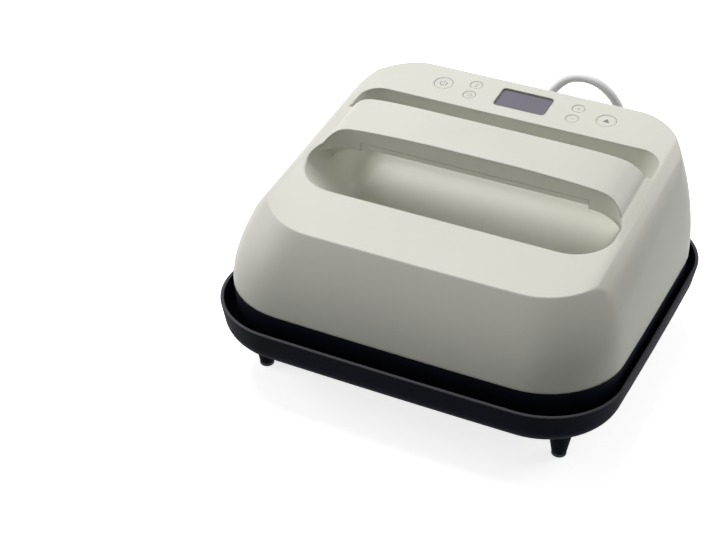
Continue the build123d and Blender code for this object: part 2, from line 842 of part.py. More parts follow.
route = [
    (relief_x, relief_end, relief_height),
    (relief_x, relief_end + 21, relief_height),
    (relief_x - 1, relief_end + 38, relief_height + 16),
    (relief_x + 0.5, relief_end + 40, relief_height + 34),
    (relief_x + 17, relief_end + 41, relief_height + 51),
    (relief_x + 41, relief_end + 40, relief_height + 51),
    (relief_x + 58, relief_end + 41, relief_height + 34),
    (relief_x + 62, relief_end + 39, relief_height - 6),
    (relief_x + 60, relief_end + 38, 30),
    (coil_x + coil_reach, relief_end + 52, cord_rest),
    (coil_x + coil_reach, coil_y - cord_diameter, cord_rest),
]
steps = [Vector(*b) - Vector(*a) for a, b in zip(route, route[1:])]
turns = [a.get_angle(b) for a, b in zip(steps, steps[1:])]
radii = [
    0.45 * min(a.length, b.length) / tan(radians(angle) / 2)
    for a, b, angle in zip(steps, steps[1:], turns)
]
print("runs", [round(step.length) for step in steps])
print("turns", [round(angle) for angle in turns])
print("radii", [round(radius) for radius in radii])
with BuildPart() as cord:
    with BuildLine() as path:
        FilletPolyline(*route, radius=radii)
    with BuildSketch(Plane(origin=route[0], x_dir=(1, 0, 0), z_dir=(0, 1, 0))):
        Circle(cord_diameter / 2)
    sweep()
cord_length = path.wires()[0].length
print("cord", cord_length, cord.part.volume / (pi * cord_diameter**2 / 4))
save(cord, "mains_cord")

# The rest of the cord lies in a coil of two layers: in below, up at the innermost half turn, out above.
upper_rest = cord_rest + coil_pitch
half = coil_pitch / 2
points = []
side = 1
x = coil_x + coil_reach
z = cord_rest
spans = [coil_reach - half * k for k in range(coil_half_turns)]
climb = coil_reach - half * coil_half_turns
spans = spans + [climb] + spans[::-1]
with BuildPart() as coil:
    with BuildLine() as path:
        Line((x, coil_y - cord_diameter, z), (x, coil_y, z))
        for k, reach in enumerate(spans):
            rise = coil_pitch if k == coil_half_turns else 0
            far = x - 2 * side * reach
            bow = hypot(reach, rise / 2)
            ThreePointArc(
                (x, coil_y, z),
                ((x + far) / 2, coil_y + side * bow, z + rise / 2),
                (far, coil_y, z + rise),
            )
            x = far
            z = z + rise
            side = -side
        Line((x, coil_y, z), (x, coil_y + side * cord_diameter, z))
    with BuildSketch(Plane(origin=(coil_x + coil_reach, coil_y - cord_diameter, cord_rest), z_dir=(0, 1, 0))):
        Circle(cord_diameter / 2)
    sweep()
coil_length = path.wires()[0].length
print("coil", coil_length, coil.part.volume / (pi * cord_diameter**2 / 4), "ends at", x, coil_y + side * cord_diameter, z)
samples = [path.wires()[0] @ (k / 1200) for k in range(1201)]
gap = 1e9
for i in range(0, 1201):
    for j in range(i + 40, 1201):
        gap = min(gap, (samples[i] - samples[j]).length)
print("coil gap", round(gap - cord_diameter, 2), "total length", round(cord_length + coil_length))
save(coil, "cord_coil")

# Plug, lying on its side at the coil's end
plug_x = x
plug_y = coil_y + side * cord_diameter
with BuildPart() as plug:
    with BuildSketch(Plane(origin=(plug_x, plug_y, upper_rest), x_dir=(1, 0, 0), z_dir=(0, -1, 0))):
        Circle(sleeve_tip)
    with BuildSketch(
        Plane(origin=(plug_x, plug_y - sleeve_length, upper_rest), x_dir=(1, 0, 0), z_dir=(0, -1, 0))
    ):
        Circle(7.5)
    loft()
    with BuildSketch(
        Plane(origin=(plug_x, plug_y - sleeve_length, upper_rest), x_dir=(1, 0, 0), z_dir=(0, -1, 0))
    ):
        RectangleRounded(21, 2 * upper_rest - 4, 6)
    with BuildSketch(
        Plane(origin=(plug_x, plug_y - sleeve_length - plug_length, upper_rest), x_dir=(1, 0, 0), z_dir=(0, -1, 0))
    ):
        RectangleRounded(27, 2 * upper_rest - 0.1, 8)
    loft()
save(plug, "plug")

blade_y = plug_y - sleeve_length - plug_length
with BuildPart() as blades:
    for dx in (-6.35, 6.35):
        with BuildSketch(Plane(origin=(plug_x + dx, blade_y, upper_rest), x_dir=(1, 0, 0), z_dir=(0, -1, 0))):
            RectangleRounded(1.5, 6.4, 0.3)
        extrude(amount=blade_length)
save(blades, "plug_blades")
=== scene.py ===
import bpy
import bmesh
import json
import math
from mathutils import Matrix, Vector
from mathutils.geometry import interpolate_bezier


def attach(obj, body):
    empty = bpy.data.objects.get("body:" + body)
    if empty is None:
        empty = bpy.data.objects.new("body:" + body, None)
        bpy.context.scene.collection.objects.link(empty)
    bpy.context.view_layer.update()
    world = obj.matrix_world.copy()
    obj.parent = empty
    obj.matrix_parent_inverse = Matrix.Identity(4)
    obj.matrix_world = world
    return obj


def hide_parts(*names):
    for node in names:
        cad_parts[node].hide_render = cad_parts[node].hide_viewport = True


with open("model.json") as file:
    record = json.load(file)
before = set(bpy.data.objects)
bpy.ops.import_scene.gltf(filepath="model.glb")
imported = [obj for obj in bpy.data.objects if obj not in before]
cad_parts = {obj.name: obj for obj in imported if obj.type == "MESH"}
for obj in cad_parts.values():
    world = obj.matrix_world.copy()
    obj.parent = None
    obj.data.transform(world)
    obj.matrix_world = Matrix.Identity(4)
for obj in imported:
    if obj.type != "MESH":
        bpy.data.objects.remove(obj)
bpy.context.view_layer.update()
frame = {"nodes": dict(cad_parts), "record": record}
nodes = frame["nodes"]
print("frame loaded:", len(nodes), "nodes")


def placed(name, data):
    made = bpy.data.objects.new(name, data)
    bpy.context.collection.objects.link(made)
    return made


cameraSettings = {
    "lens": 85.469,
    "place": (0.424385, -1.040820, 0.836635),
    "target": (-0.076591, -0.035436, 0.064),
    "sensor": 36,
    "farthest": 30,
}
cameraData = bpy.data.cameras.new("camera")
cameraData.lens = cameraSettings["lens"]
cameraData.sensor_width = cameraSettings["sensor"]
cameraData.clip_end = cameraSettings["farthest"]
camera = placed("camera", cameraData)
camera.location = cameraSettings["place"]
aim = Vector(cameraSettings["target"]) - Vector(cameraSettings["place"])
camera.rotation_euler = aim.to_track_quat("-Z", "Y").to_euler()
bpy.context.scene.camera = camera


class Wire:  # one socket, on which sums can be written
    def __init__(self, paint, socket):
        self.paint = paint
        self.socket = socket

    def join(self, operation, a, b):
        return self.paint.node("ShaderNodeMath", {"operation": operation}, {0: a, 1: b})

    def __add__(self, other):
        return self.join("ADD", self, other)

    def __radd__(self, other):
        return self.join("ADD", other, self)

    def __sub__(self, other):
        return self.join("SUBTRACT", self, other)

    def __rsub__(self, other):
        return self.join("SUBTRACT", other, self)

    def __mul__(self, other):
        return self.join("MULTIPLY", self, other)

    def __rmul__(self, other):
        return self.join("MULTIPLY", other, self)

    def __truediv__(self, other):
        return self.join("DIVIDE", self, other)

    def __rtruediv__(self, other):
        return self.join("DIVIDE", other, self)

    def __pow__(self, other):
        return self.join("POWER", self, other)

    def __gt__(self, other):
        return self.join("GREATER_THAN", self, other)

    def __lt__(self, other):
        return self.join("LESS_THAN", self, other)


class Paint:
    def __init__(self, name, **fixed):
        self.material = bpy.data.materials.new(name)
        self.material.use_nodes = True
        self.tree = self.material.node_tree
        self.shader = next(n for n in self.tree.nodes if n.type == "BSDF_PRINCIPLED")
        self.place = None
        for socket, value in fixed.items():
            self.set(socket.replace("_", " "), value)

    def link(self, socket, value):
        if isinstance(value, Wire):
            self.tree.links.new(value.socket, socket)
            return
        held = socket.default_value
        if hasattr(held, "__len__") and len(held) == 4 and len(value) == 3:
            value = (*value, 1)  # a colour's alpha
        socket.default_value = value

    def node(self, kind, settings=None, inputs=None, out=0):
        made = self.tree.nodes.new(kind)
        for key, value in (settings or {}).items():
            if key == "stops":
                while len(made.color_ramp.elements) < len(value):
                    made.color_ramp.elements.new(0.5)
                for stop, (at, colour) in zip(made.color_ramp.elements, value):
                    stop.position = at
                    stop.color = (*colour, 1)
            else:
                setattr(made, key, value)
        for key, value in (inputs or {}).items():
            self.link(made.inputs[key], value)
        return Wire(self, made.outputs[out])

    def set(self, name, value):
        self.link(self.shader.inputs[name], value)

    def spot(self, scale=(1, 1, 1)):
        if self.place is None:
            self.place = self.node("ShaderNodeTexCoord", out="Object")
        return self.node("ShaderNodeMapping", {}, {"Vector": self.place, "Scale": scale})

    def noise(self, scale, detail=2.0, rough=0.5, stretch=(1, 1, 1)):
        inputs = {"Vector": self.spot(stretch), "Scale": scale, "Detail": detail, "Roughness": rough}
        return self.node("ShaderNodeTexNoise", {}, inputs, "Fac")

    def mix(self, factor, a, b):
        return self.node("ShaderNodeMix", {"data_type": "RGBA"}, {"Factor": factor, 6: a, 7: b}, 2)

    def ramp(self, value, *stops):
        return self.node("ShaderNodeValToRGB", {"stops": stops}, {"Fac": value}, "Color")

    def span(self, value, low, high, a, b):
        inputs = {"Value": value, "From Min": low, "From Max": high, "To Min": a, "To Max": b}
        return self.node("ShaderNodeMapRange", {}, inputs, "Result")

    def bump(self, height, distance, strength=1.0, edge=0.0):
        inputs = {"Height": height, "Distance": distance, "Strength": strength}
        if edge:  # rounds the moulding's edges for the light alone
            inputs["Normal"] = self.node("ShaderNodeBevel", {"samples": 6}, {"Radius": edge}, "Normal")
        self.set("Normal", self.node("ShaderNodeBump", {}, inputs, "Normal"))


def shade(colour, factor):
    return tuple(c * factor for c in colour)


finishSettings = {
    "cream": (0.71, 0.71, 0.635),
    "navy": (0.007, 0.008, 0.014),
    "navyRough": 0.6,
    "navyDust": 0.006,
    "navyShine": 0.03,
    "dust": (0.3, 0.3, 0.31),
    "plasticGrain": 0.00004,
    "softEdge": 0.0022,  # how widely the housing's edges catch the light
    "crispEdge": 0.0008,
    # the tray rim's top band and its paler colour: a painted highlight
    "rim": {"top": 0.0645, "from": 0.0011, "to": 0.0003, "colour": (0.1, 0.1, 0.115)},
    "rubberIor": 1.5,
    "weave": 130,
    "pane": ((0.175, 0.162, 0.2), (0.2, 0.186, 0.226)),
}


def mouldedPlastic(name, colour, rough=0.42, dust=0.0, shine=0.5, edge=0.0, rim=None):
    s = finishSettings
    paint = Paint(name, IOR=1.5, Specular_IOR_Level=shine)
    cloud = paint.noise(9, 3)
    speck = paint.noise(900, 2, 0.6)
    tone = paint.mix(paint.span(cloud, 0.3, 0.7, 0, 1), shade(colour, 0.965), shade(colour, 1.02))
    if dust:
        fluff = paint.span(paint.noise(240, 4, 0.7), 0.62, 0.8, 0, dust)
        tone = paint.mix(fluff, tone, s["dust"])
    if rim:  # the uppermost edge, painted paler: a painted highlight along the rim
        height = paint.node("ShaderNodeSeparateXYZ", {}, {"Vector": paint.spot()}, "Z")
        rimHighlightMask = paint.span(height, rim["top"] - rim["from"], rim["top"] - rim["to"], 0, 1)
        tone = paint.mix(rimHighlightMask, tone, rim["colour"])
    paint.set("Base Color", paint.mix(speck * 0.05, tone, shade(colour, 0.86)))
    paint.set("Roughness", paint.span(speck + cloud * 0.4, 0.4, 1.0, rough - 0.05, rough + 0.09))
    paint.bump(paint.noise(1500, 2, 0.55), s["plasticGrain"], 0.5, edge)
    return paint.material


def brushedMetal(name, colour, rough, stretch, scale=60):
    paint = Paint(name, Metallic=1.0)
    lines = paint.noise(scale, 4, 0.65, stretch)
    stain = paint.noise(14, 3)
    paint.set("Base Color", paint.mix(paint.span(stain, 0.35, 0.7, 0, 1), colour, shade(colour, 0.82)))
    paint.set("Roughness", paint.span(lines, 0.3, 0.7, rough - 0.08, rough + 0.12))
    paint.bump(lines, 0.00003, 0.5)
    return paint.material


def softRubber(name, colour, rough=0.62):
    paint = Paint(name, IOR=finishSettings["rubberIor"])
    speck = paint.noise(700, 3, 0.6)
    bloom = paint.noise(22, 3)
    paint.set("Base Color", paint.mix(paint.span(bloom, 0.4, 0.75, 0, 0.35), colour, shade(colour, 1.25)))
    paint.set("Roughness", paint.span(speck, 0.3, 0.7, rough - 0.06, rough + 0.1))
    paint.bump(speck, 0.00004, 0.5)
    return paint.material


def circuitBoard(name):
    paint = Paint(name, Roughness=0.35)
    tracks = {"Vector": paint.spot(), "Scale": 55, "Mortar Size": 0.012, "Brick Width": 0.6, "Row Height": 0.22}
    cells = paint.node("ShaderNodeTexBrick", {"offset": 0.5}, tracks, "Fac")
    pads = paint.node("ShaderNodeTexVoronoi", {}, {"Vector": paint.spot(), "Scale": 210}, "Distance")
    resist = paint.mix(paint.noise(40) * 0.4, (0.012, 0.12, 0.05), (0.02, 0.2, 0.09))
    traced = paint.mix(cells, resist, (0.05, 0.32, 0.14))
    paint.set("Base Color", paint.mix(pads < 0.16, traced, (0.62, 0.6, 0.55)))
    paint.bump(cells, 0.00003, 0.6)
    return paint.material


def wovenCloth(name, colour):
    paint = Paint(name, Roughness=0.85)
    threads = {"Vector": paint.spot(), "Scale": finishSettings["weave"]}
    warp = paint.node("ShaderNodeTexWave", {"bands_direction": "X"}, threads)
    weft = paint.node("ShaderNodeTexWave", {"bands_direction": "Y"}, threads)
    weave = warp * weft
    paint.set("Base Color", paint.mix(weave, shade(colour, 0.7), shade(colour, 1.5)))
    paint.bump(weave, 0.0001, 0.7)
    return paint.material


def fibreFelt(name, colour):
    paint = Paint(name, Roughness=0.95)
    strands = paint.noise(420, 5, 0.75, (1, 1, 3))
    clumps = paint.noise(60, 3)
    tangle = strands * 0.6 + clumps * 0.3
    paint.set("Base Color", paint.mix(tangle, shade(colour, 0.72), shade(colour, 1.15)))
    paint.bump(strands, 0.0005, 0.8)
    return paint.material


def plateCoating(name):
    paint = Paint(name, Metallic=0.35)
    fleck = paint.noise(1300, 2, 0.7)
    smear = paint.noise(16, 3, 0.5, (1, 2, 1))
    flecked = paint.span(fleck, 0.62, 0.7, 0, 0.7)
    paint.set("Base Color", paint.mix(flecked, (0.03, 0.03, 0.032), (0.18, 0.18, 0.19)))
    paint.set("Roughness", paint.span(smear, 0.3, 0.7, 0.3, 0.44))
    paint.bump(fleck, 0.00003, 0.5)
    return paint.material


def heaterSheath(name):
    paint = Paint(name, Metallic=0.9)
    heat = paint.noise(18, 3)
    tint = paint.ramp(heat, (0.3, (0.32, 0.3, 0.27)), (0.5, (0.3, 0.22, 0.13)), (0.7, (0.14, 0.13, 0.19)))
    paint.set("Base Color", tint)
    paint.set("Roughness", paint.span(paint.noise(300, 3), 0.3, 0.7, 0.3, 0.5))
    paint.bump(paint.noise(600, 2), 0.00003, 0.5)
    return paint.material


def displayPane(name):
    paint = Paint(name, Roughness=0.3, IOR=1.5, Specular_IOR_Level=0.15)
    haze = paint.noise(30, 2)
    paint.set("Base Color", paint.mix(haze, *finishSettings["pane"]))
    paint.bump(paint.noise(400, 1), 0.000005, 0.3)
    return paint.material


def printedInk(name, colour):
    paint = Paint(name, Roughness=0.5)
    paint.set("Base Color", paint.mix(paint.noise(700, 2), shade(colour, 0.85), shade(colour, 1.15)))
    paint.bump(paint.noise(1800, 2), 0.00001, 0.4)
    return paint.material


def navyPlastic(name, rim=None):
    s = finishSettings
    return mouldedPlastic(name, s["navy"], s["navyRough"], s["navyDust"], s["navyShine"], s["crispEdge"], rim)


finishes = {
    "pale_plastic": mouldedPlastic("palePlastic", finishSettings["cream"], 0.44, edge=finishSettings["softEdge"]),
    "key_plastic": mouldedPlastic("keyPlastic", finishSettings["cream"]),
    "dark_plastic": navyPlastic("darkPlastic"),
    "display_window": displayPane("displayPane"),
    "display_frame": mouldedPlastic("displayFrame", (0.05, 0.05, 0.055), 0.5),
    "circuit_board": circuitBoard("circuitBoard"),
    "switch_plastic": mouldedPlastic("switchPlastic", (0.03, 0.03, 0.03), 0.4),
    "component_plastic": mouldedPlastic("componentPlastic", (0.05, 0.09, 0.25), 0.35),
    "zinc_steel": brushedMetal("zincSteel", (0.62, 0.62, 0.6), 0.3, (1, 1, 6), 400),
    "sheet_steel": brushedMetal("sheetSteel", (0.5, 0.5, 0.5), 0.34, (1, 14, 1)),
    "plate_coating": plateCoating("plateCoating"),
    "heater_sheath": heaterSheath("heaterSheath"),
    "probe_metal": brushedMetal("probeMetal", (0.68, 0.68, 0.68), 0.28, (1, 1, 8), 300),
    "cutout_ceramic": softRubber("cutoutCeramic", (0.72, 0.7, 0.64), 0.7),
    "insulation_felt": fibreFelt("insulationFelt", (0.7, 0.68, 0.6)),
    "liner_cloth": wovenCloth("linerCloth", (0.035, 0.035, 0.04)),
    "pad_rubber": softRubber("padRubber", (0.02, 0.02, 0.022)),
    "cord_rubber": softRubber("cordRubber", (0.93, 0.93, 0.95), 0.5),
    "blade_brass": brushedMetal("bladeBrass", (0.75, 0.6, 0.3), 0.25, (1, 10, 1), 200),
}
for part in frame["record"]["subparts"]:
    target = nodes[part["node"]]
    target.data.materials.clear()
    target.data.materials.append(finishes[part["material_slot"]])
# the tray's navy finish, with a painted highlight along the top of its rim
nodes["base_tray"].data.materials[0] = navyPlastic("trayPlastic", finishSettings["rim"])
print("finishes set:", len(finishes))

# the cord: the route of the CAD tube, then its coil
cordSettings = {
    "diameter": 0.0078,
    "length": 1.748,
    "route": [
        (-0.011, 0.165, 0.090), (-0.011, 0.186, 0.090), (-0.012, 0.203, 0.106), (-0.0105, 0.205, 0.124),
        (0.008, 0.206, 0.1455), (0.037, 0.205, 0.1455), (0.058, 0.206, 0.121), (0.060, 0.204, 0.084),
        (0.054, 0.203, 0.030), (0.050, 0.217, 0.00395), (0.050, 0.2622, 0.00395),
    ],
    "coilCentre": (-0.001, 0.270, 0.00395),
    "coilReach": 0.051,
    "coilPitch": 0.0083,
    "halfTurns": 5,
    "pointsPerHalf": 8,
    "roundness": 5,
    "smoothness": 6,
}


def coilPoints(s):  # in below, up in the innermost half turn, out above
    spans = [s["coilReach"] - s["coilPitch"] / 2 * k for k in range(s["halfTurns"])]
    spans = spans + [spans[-1] - s["coilPitch"] / 2] + spans[::-1]
    count = s["pointsPerHalf"]
    swell = 1 / math.cos(math.pi / count / 2)  # the spline runs inside its points
    made = []
    x, y, z = s["coilCentre"]
    x += s["coilReach"]
    side = 1
    for k, reach in enumerate(spans):
        rise = s["coilPitch"] if k == s["halfTurns"] else 0
        middle = x - side * reach
        for step in range(count):
            angle = math.pi * (step + 0.5) / count
            along, out = math.cos(angle), math.sin(angle)
            across = side * reach * swell
            made.append((middle + across * along, y + across * out, z + rise * (1 - along) / 2))
        x -= 2 * side * reach
        z += rise
        side = -side
    made.append((x, y + side * s["diameter"], z))
    return made


def makeCord(s):
    curve = bpy.data.curves.new("mainsLead", "CURVE")
    curve.dimensions = "3D"
    curve.bevel_depth = s["diameter"] / 2
    curve.bevel_resolution = s["roundness"]
    curve.resolution_u = s["smoothness"]
    curve.use_fill_caps = True
    spline = curve.splines.new("NURBS")
    route = s["route"] + coilPoints(s)
    spline.points.add(len(route) - 1)
    for point, place in zip(spline.points, route):
        point.co = (*place, 1)
    spline.order_u = 3
    spline.use_endpoint_u = True
    curve.materials.append(finishes["cord_rubber"])
    return placed("mainsLead", curve)


mainsLead = makeCord(cordSettings)
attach(mainsLead, "press")
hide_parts("mains_cord", "cord_coil")
print("cord laid")

# the upper shell, in millimetres until it is closed: a body of soft rings, then the long cuts
shellSettings = {
    "slope": 6.5,
    "deckHeight": 147.7,
    "wall": 2.6,
    "bow": 1.5,  # how far the long sides curve out
    "rings": 26,
    "weld": 0.0005,
    "belly": 0.375,  # where the waist lies between seam and top
    "over": 7,  # how far the rings go past the handle's top
    "seam": {"height": 76, "halfX": 160, "halfY": 137, "corner": 62, "lap": 1},
    "waist": {"height": 113, "halfX": 155, "halfY": 131, "corner": 55, "middle": 5},
    "deck": {"halfX": 139, "front": -97, "back": 143, "corner": 60},
    "lean": {"side": 0.45, "front": 0.82, "back": -0.2},  # of the walls at the deck
    "handle": {"front": 9, "back": 54, "rise": 20, "edge": 5, "foot": -24, "under": -3, "split": 5, "gripHalf": 96},
    "bar": {"halfX": 145, "far": 60},
    "arch": [(0, 20), (60, 18.8), (95, 16.8), (111, 14.4), (119, 10.2), (125, 3.4)],
    "shoulder": [(125, 3.4), (134.5, 0), (140.5, -4.2), (146, -11.5), (155, -31)],
    "rim": {"halfX": 125.5, "low": -40, "high": 20},  # where the walls stay thick
    "panel": {"front": 90, "horn": 64, "rise": 1.5, "dip": -1.3, "round": 7, "row": 115.5, "drop": (5, -14)},
    "well": {"halfX": 129, "front": -51, "back": 90, "frontCorner": 34, "backCorner": 18, "over": 12},
    "wellFloor": {"halfX": 113, "front": -25, "back": 76, "frontCorner": 30, "backCorner": 16},
    "wellDepth": 50,
    "wellRound": 13,
    "tunnel": {"halfX": 127, "round": 28},
    "fillet": {"round": 22, "low": -3.8, "high": 50, "into": 1},
    "window": {"size": (45, 25.5, 3.5), "low": -8, "high": 6},
    "lensSeat": {"size": (51.4, 31.9, 6.5), "low": -9, "high": 0.3},
    "keys": [(-71.5, 0, 8), (71.5, 0, 8), (-45, 7.5, 5.2), (-45, -7.5, 5.2), (45, 7.5, 5.2), (45, -7.5, 5.2)],
    "keyHole": {"grow": 0, "low": -9, "high": 6},
    "keySeat": {"grow": 1.7, "low": -10, "high": -1.1},
    "far": {"front": -220, "side": 230, "up": 120, "box": 200, "arch": (-170, 180)},  # clear of the body
    "sharpFrom": 34,
    "sliver": 0.000002,
}
tilt = math.radians(shellSettings["slope"])


def onDeck(u, v, w):
    return Vector((
        u,
        v * math.cos(tilt) - w * math.sin(tilt),
        shellSettings["deckHeight"] + v * math.sin(tilt) + w * math.cos(tilt),
    ))


def fromFront(u, w, v):
    return onDeck(u, v, w)


def fromSide(v, w, u):
    return onDeck(u, v, w)


def settled(bm, name):  # the mesh with its faces in an order that is the same each run, as extruding isn't
    points = [v.co[:] for v in bm.verts]
    rank = {v: k for k, v in enumerate(bm.verts)}
    loops = [[rank[v] for v in face.verts] for face in bm.faces]
    mesh = bpy.data.meshes.new(name)
    mesh.from_pydata(points, [], sorted(loops, key=lambda loop: sorted(points[k] for k in loop)))
    bm.free()
    return mesh


def closed(bm, name):  # millimetres become metres here
    bmesh.ops.remove_doubles(bm, verts=bm.verts[:], dist=shellSettings["weld"])
    bmesh.ops.recalc_face_normals(bm, faces=bm.faces[:])
    bmesh.ops.scale(bm, vec=(0.001, 0.001, 0.001), verts=bm.verts[:])
    return placed(name, settled(bm, name))


def carve(piece, tool):
    step = piece.modifiers.new("carve", "BOOLEAN")
    step.operation = "DIFFERENCE"
    step.solver = "EXACT"
    step.object = tool
    graph = bpy.context.evaluated_depsgraph_get()
    result = bpy.data.meshes.new_from_object(piece.evaluated_get(graph))
    piece.modifiers.clear()
    spent = piece.data
    piece.data = result
    bpy.data.meshes.remove(spent)
    bpy.data.objects.remove(tool)


def pushed(bm, faces, shift):  # extrudes faces, keeps the old ones and gives the new ones
    made = bmesh.ops.extrude_face_region(bm, geom=faces, use_keep_orig=True)["geom"]
    bmesh.ops.translate(bm, vec=shift, verts=[g for g in made if isinstance(g, bmesh.types.BMVert)])
    return [g for g in made if isinstance(g, bmesh.types.BMFace)]


def roundedColumn(steps, place, segments=12, sideCuts=9):  # place(x, y, step) sets a point of the unit column
    bm = bmesh.new()
    bmesh.ops.create_grid(bm, x_segments=1, y_segments=1, size=1)
    bmesh.ops.bevel(
        bm, geom=bm.verts[:], offset=0.4, offset_type="OFFSET", segments=segments, profile=0.5,
        affect="VERTICES", material=-1,
    )
    straight = max(abs(v.co.x) for v in bm.verts if abs(v.co.y) > 0.9999)
    sides = [e for e in bm.edges if e.calc_length() > straight * 1.9]
    bmesh.ops.subdivide_edges(bm, edges=sides, cuts=sideCuts)
    top = bm.faces[:]
    for step in range(steps):
        below, top = top, pushed(bm, top, (0, 0, 1))
        if step:  # only the lowest face stays, as the underside
            bmesh.ops.delete(bm, geom=below, context="FACES_ONLY")
    for v in bm.verts:
        flatX = max(-1, min(1, v.co.x / straight))
        flatY = max(-1, min(1, v.co.y / straight))
        bendX = (v.co.x - flatX * straight) / (1 - straight)
        bendY = (v.co.y - flatY * straight) / (1 - straight)
        v.co = place((flatX, bendX), (flatY, bendY), round(v.co.z))
    return bm


def roundedPoint(x, y, halfX, halfY, corner, bow=0):
    px = x[0] * (halfX - corner) + x[1] * corner
    py = y[0] * (halfY - corner) + y[1] * corner
    return px * (1 - bow / halfX * (py / halfY) ** 2), py * (1 - bow / halfY * (px / halfX) ** 2)


def bodyForm(s, inset, name):
    seam, waist, deck, lean, belly = s["seam"], s["waist"], s["deck"], s["lean"], s["belly"]
    top = s["handle"]["rise"] + s["over"]
    middle = (deck["front"] + deck["back"]) / 2 + (lean["front"] - lean["back"]) * top / 2
    halfX = deck["halfX"] - lean["side"] * top
    halfY = (deck["back"] - deck["front"]) / 2 - (lean["front"] + lean["back"]) * top / 2
    half = tilt / 2

    def contour(x, y, wide, deep, corner):
        return roundedPoint(x, y, wide - inset, deep - inset, corner - inset, s["bow"])

    def place(x, y, step):
        t = step / s["rings"]
        ax, ay = contour(x, y, seam["halfX"], seam["halfY"], seam["corner"])
        bx, by = contour(x, y, waist["halfX"], waist["halfY"], waist["corner"])
        cx, cy = contour(x, y, halfX, halfY, deck["corner"])
        low = Vector((ax, ay, seam["height"] - (seam["lap"] if inset else 0)))
        mid = Vector((bx, waist["middle"] + by * math.cos(half), waist["height"] + by * math.sin(half)))
        high = onDeck(cx, middle + cy, top)
        return (
            low * ((t - belly) * (t - 1) / belly)
            + mid * (t * (t - 1) / (belly * (belly - 1)))
            + high * (t * (t - belly) / (1 - belly))
        )

    return closed(roundedColumn(s["rings"], place), name)


def prism(outline, low, high, facing, name):  # an outline in two of the deck's directions, carried along the third
    bm = bmesh.new()
    face = bm.faces.new([bm.verts.new(facing(a, b, low)) for a, b in outline])
    pushed(bm, [face], facing(0, 0, high) - facing(0, 0, low))
    return closed(bm, name)


def flow(points, start, end, steps=8):  # a smooth line through points, with the directions of its ends
    points = [Vector((*p, 0)) for p in points]
    lines = [b - a for a, b in zip(points, points[1:])]
    ways = [Vector((*start, 0))] + [(a + b) / 2 for a, b in zip(lines, lines[1:])] + [Vector((*end, 0))]
    made = []
    for a, b, line, leaving, reaching in zip(points, points[1:], lines, ways, ways[1:]):
        reach = line.length / 3
        handles = a + leaving.normalized() * reach, b - reaching.normalized() * reach
        stretch = interpolate_bezier(a, *handles, b, steps)
        made += [(p.x, p.y) for p in stretch][1 if made else 0:]
    return made


def arc(x, y, radius, start, end, steps=10):
    turns = [math.radians(start + (end - start) * k / steps) for k in range(steps + 1)]
    return [(x + radius * math.cos(a), y + radius * math.sin(a)) for a in turns]


def longProfile(s):  # what lies above the deck, handle, slot and panel, seen from the side
    h, p, far = s["handle"], s["panel"], s["far"]
    deckBack, rise, roof, bend = s["deck"]["back"], h["rise"], p["rise"], p["round"]
    outline = [(far["front"], 0)] + flow([(h["foot"], 0), (h["front"] + 3, rise)], (1, 0.1), (1, 0.12), 16)
    outline += arc(h["back"] - h["edge"], rise - h["edge"], h["edge"], 90, 0)
    outline += flow([(h["back"] + 1, 5 - p["dip"]), (h["back"] + 6, -p["dip"])], (0.15, -1), (1, 0), 6)
    outline += [(p["horn"], -p["dip"]), (p["horn"], roof)]
    outline += arc(deckBack - bend, roof - bend, bend, 90, 0)
    outline += [(deckBack + p["drop"][0], roof - bend + p["drop"][1])]
    outline += [(far["side"], 0), (far["side"], far["up"]), (far["front"], far["up"])]
    return prism(outline, -far["side"], far["side"], fromSide, "longProfile")


def archProfile(s, side):  # what lies above the handle's arched top and the shoulders, seen from the front
    far = s["far"]
    line = flow(s["arch"], (1, 0), (0.55, -1)) + flow(s["shoulder"], (1, -0.15), (0.35, -1))[1:]
    line += [(far["side"], s["shoulder"][-1][1]), (far["side"], far["up"]), (0, far["up"])]
    return prism([(side * u, w) for u, w in line], *far["arch"], fromFront, "archProfile")


def wellForm(s, grow, name):
    mouth, floor = s["well"], s["wellFloor"]
    lowest = -(s["wellDepth"] + grow)
    high = s["handle"]["rise"] + mouth["over"]

    def place(x, y, step):
        part = floor if step == 0 else mouth
        corner = part["frontCorner" if y[1] < 0 or y[0] < 0 else "backCorner"] + grow
        middle = (part["front"] + part["back"]) / 2
        px, py = roundedPoint(x, y, part["halfX"] + grow, (part["back"] - part["front"]) / 2 + grow, corner)
        return onDeck(px, middle + py, (lowest, 0, high)[step])

    bm = roundedColumn(2, place, sideCuts=1)
    low = onDeck(0, 0, lowest)
    normal = onDeck(0, 0, 1) - onDeck(0, 0, 0)
    edges = [e for e in bm.edges if all(abs((v.co - low).dot(normal)) < 0.01 for v in e.verts)]
    bmesh.ops.bevel(
        bm, geom=edges, offset=s["wellRound"] + grow, offset_type="OFFSET", segments=8, profile=0.5,
        affect="EDGES", material=-1,
    )
    return closed(bm, name)


def handleBar(s):  # the bar over the well, its arched underside and the pocket that the grip fills
    h, half, bend = s["handle"], s["tunnel"]["halfX"], s["tunnel"]["round"]
    under, grip, wide, far = h["under"], h["gripHalf"], s["bar"]["halfX"], s["bar"]["far"]
    outline = [(-wide, far), (-wide, -far), (-half, -far)] + arc(bend - half, under - bend, bend, 180, 90)
    outline += [(-grip, under), (-grip, h["split"]), (grip, h["split"]), (grip, under)]
    outline += arc(half - bend, under - bend, bend, 90, 0) + [(half, -far), (wide, -far), (wide, far)]
    return prism(outline, h["front"], h["back"], fromFront, "handleBar")


def handleFillet(s, side):  # rounds the corner between the handle's front and the well's end, seen from above
    fillet, x, front = s["fillet"], s["well"]["halfX"], s["handle"]["front"]
    bend, into = fillet["round"], fillet["into"]
    outline = [(x - bend, front + into), (x + into, front + into), (x + into, front - bend)]
    outline += arc(x - bend, front - bend, bend, 0, 90)
    return prism([(side * u, v) for u, v in outline], fillet["low"], fillet["high"], onDeck, "handleFillet")


